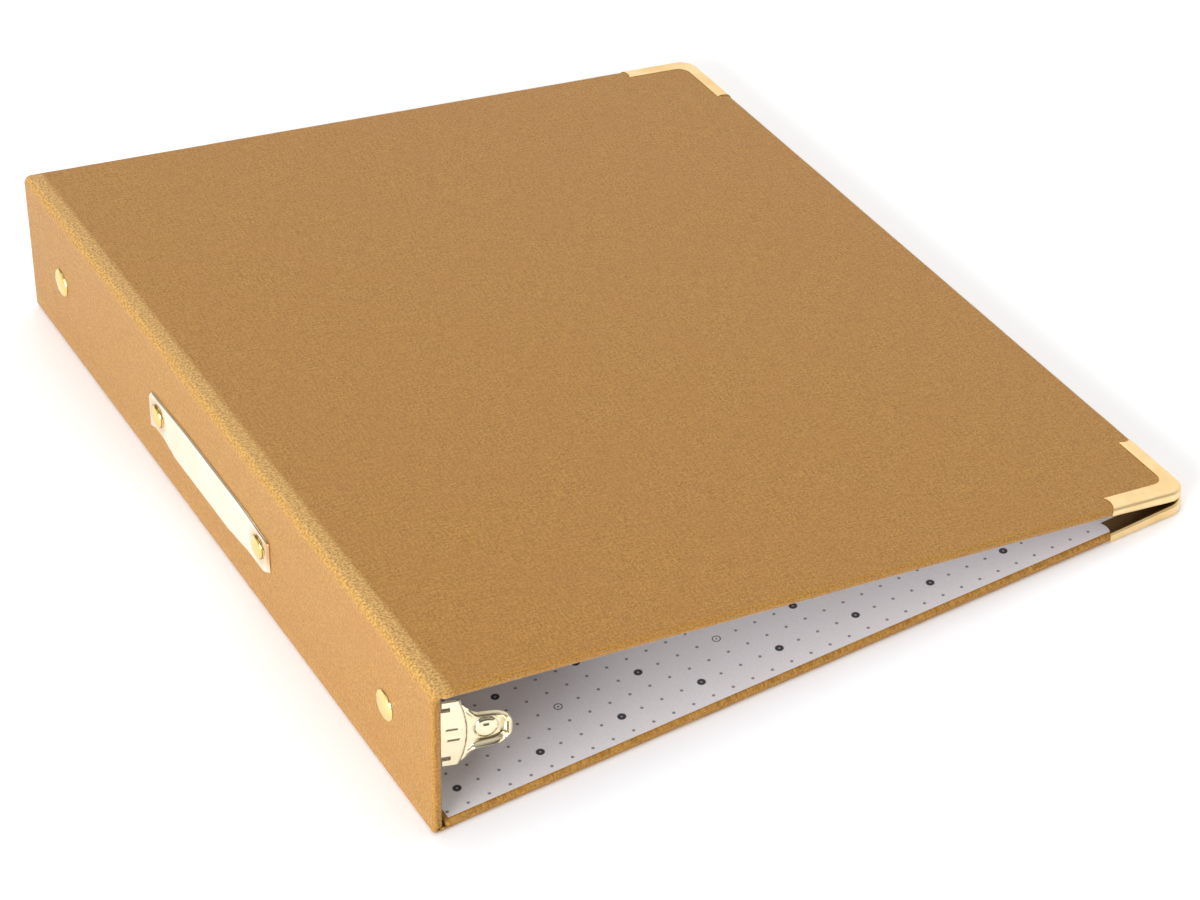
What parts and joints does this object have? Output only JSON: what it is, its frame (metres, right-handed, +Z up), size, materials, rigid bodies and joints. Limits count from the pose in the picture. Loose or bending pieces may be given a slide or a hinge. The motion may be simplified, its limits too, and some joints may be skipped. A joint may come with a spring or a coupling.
{
  "type": "scrapbook album",
  "caption": "Cloth-covered ring scrapbook album with metal corners, a riveted spine name plate, a dotted paper lining and a lever-opened three-ring mechanism.",
  "frame": {"origin": "middle of the footprint, on the surface the album lies on", "axes": "+X from the spine to the fore edge, +Y from the tail to the head, +Z up out of the front cover"},
  "size_m": [0.2638, 0.2992, 0.0519],
  "materials": {
    "bronze_cloth": "fine woven book cloth with a metallic bronze sheen",
    "grey_board": "raw grey binder's board",
    "dotted_liner_paper": "matte white paper printed with a fine grid of dots",
    "corner_metal": "pale gold plate, satin bright",
    "plate_metal": "pale gold plate, polished",
    "mechanism_metal": "pale gold plate over steel, polished"
  },
  "bodies": {
    "back_cover": {"back_cover_cloth": "bronze_cloth", "back_cover_board": "grey_board", "back_cover_liner": "dotted_liner_paper", "back_joint_cloth": "bronze_cloth", "back_corner_tail": "corner_metal", "back_corner_head": "corner_metal"},
    "spine": {"spine_board": "grey_board", "spine_cloth": "bronze_cloth", "spine_liner": "dotted_liner_paper", "spine_name_plate": "plate_metal", "name_plate_rivet_tail": "plate_metal", "name_plate_rivet_head": "plate_metal", "mechanism_arched_cover": "mechanism_metal", "mechanism_rivet_tail": "mechanism_metal", "mechanism_rivet_head": "mechanism_metal", "lever_pin_tail": "mechanism_metal", "lever_pin_head": "mechanism_metal"},
    "front_cover": {"front_cover_cloth": "bronze_cloth", "front_cover_board": "grey_board", "front_cover_liner": "dotted_liner_paper", "front_joint_cloth": "bronze_cloth", "front_corner_tail": "corner_metal", "front_corner_head": "corner_metal"},
    "ring_set_lower": {"hinge_plate_lower": "mechanism_metal", "half_ring_lower_tail": "mechanism_metal", "half_ring_lower_middle": "mechanism_metal", "half_ring_lower_head": "mechanism_metal"},
    "ring_set_upper": {"hinge_plate_upper": "mechanism_metal", "half_ring_upper_tail": "mechanism_metal", "half_ring_upper_middle": "mechanism_metal", "half_ring_upper_head": "mechanism_metal"},
    "lever_tail": {"opening_lever_tail": "mechanism_metal"},
    "lever_head": {"opening_lever_head": "mechanism_metal"}
  },
  "joints": [
    {"name": "back_gutter", "type": "hinge", "parent": "back_cover", "child": "spine", "pos_m": [-0.13176, 0, 0], "axis": [0, 1, 0], "range_deg": [-87, 0]},
    {"name": "front_gutter", "type": "hinge", "parent": "spine", "child": "front_cover", "pos_m": [-0.1281, 0, 0.05202], "axis": [0, 1, 0], "range_deg": [-103.5, 0]},
    {"name": "tail_lever_pivot", "type": "hinge", "parent": "spine", "child": "lever_tail", "pos_m": [-0.12385, -0.1365, 0.02551], "axis": [-0.0703, 0, -0.9975], "range_deg": [0, 40]},
    {"name": "head_lever_pivot", "type": "hinge", "parent": "spine", "child": "lever_head", "pos_m": [-0.12385, 0.1365, 0.02551], "axis": [0.0703, 0, 0.9975], "range_deg": [0, 40]},
    {"name": "lower_ring_hinge", "type": "hinge", "parent": "spine", "child": "ring_set_lower", "pos_m": [-0.12479, 0, 0.01495], "axis": [0, 1, 0], "range_deg": [0, 12]},
    {"name": "upper_ring_hinge", "type": "hinge", "parent": "spine", "child": "ring_set_upper", "pos_m": [-0.1233, 0, 0.0361], "axis": [0, -1, 0], "range_deg": [0, 12]}
  ],
  "couplings": [
    {"joint": "head_lever_pivot", "follows": "tail_lever_pivot", "ratio": 1},
    {"joint": "lower_ring_hinge", "follows": "tail_lever_pivot", "ratio": 0.3},
    {"joint": "upper_ring_hinge", "follows": "tail_lever_pivot", "ratio": 0.3}
  ]
}
